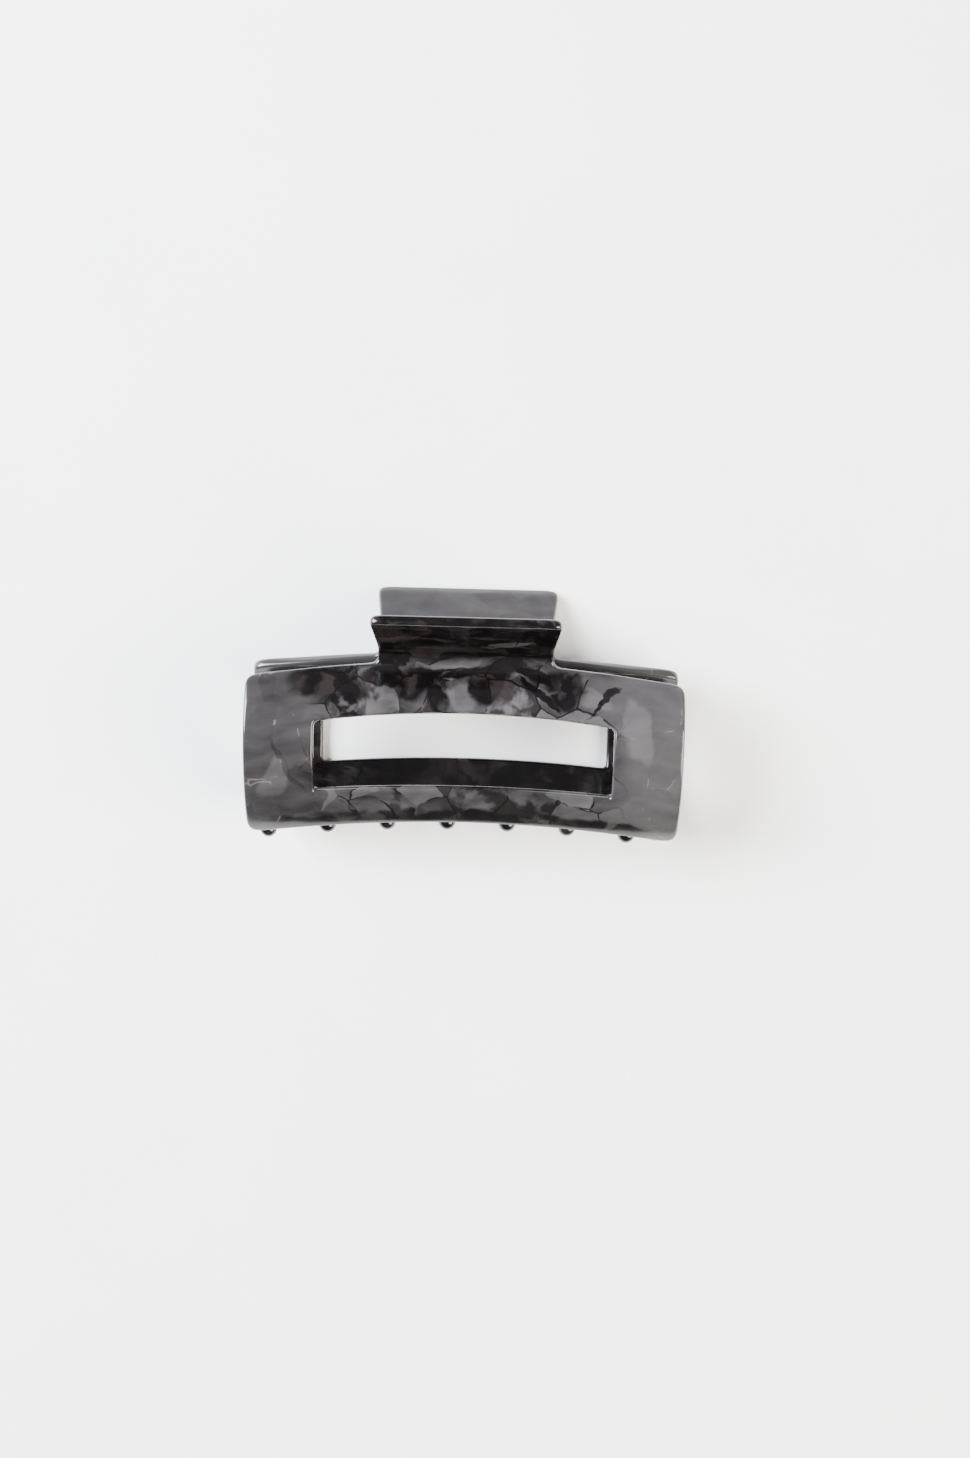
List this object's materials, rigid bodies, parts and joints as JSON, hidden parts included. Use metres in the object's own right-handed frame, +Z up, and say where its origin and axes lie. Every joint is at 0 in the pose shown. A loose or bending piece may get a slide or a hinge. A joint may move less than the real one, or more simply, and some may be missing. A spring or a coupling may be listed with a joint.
{
  "type": "claw clip",
  "caption": "Rectangular open-frame hair claw clip, two curved toothed jaws on a sprung hinge, lying on one jaw.",
  "frame": {"origin": "on the surface the clip lies on, under the middle of its bounding box", "axes": "+X along the hinge and the clip's length, +Y from the teeth towards the handles, +Z up from the surface"},
  "size_m": [0.105, 0.0612, 0.0369],
  "materials": {
    "marbled_acetate": "gloss",
    "pin_steel": "satin",
    "spring_steel": "satin"
  },
  "bodies": {
    "back": {"back_jaw": "marbled_acetate", "hinge_pin": "pin_steel", "torsion_spring": "spring_steel"},
    "front": {"front_jaw": "marbled_acetate"}
  },
  "joints": [
    {"name": "jaw_hinge", "type": "hinge", "parent": "back", "child": "front", "pos_m": [0, 0.01527, 0.0172], "axis": [-1, 0, 0], "range_deg": [0, 80], "stiffness_Nm_per_rad": 0.12, "springref_deg": -68.75, "deforming": ["torsion_spring"]}
  ]
}
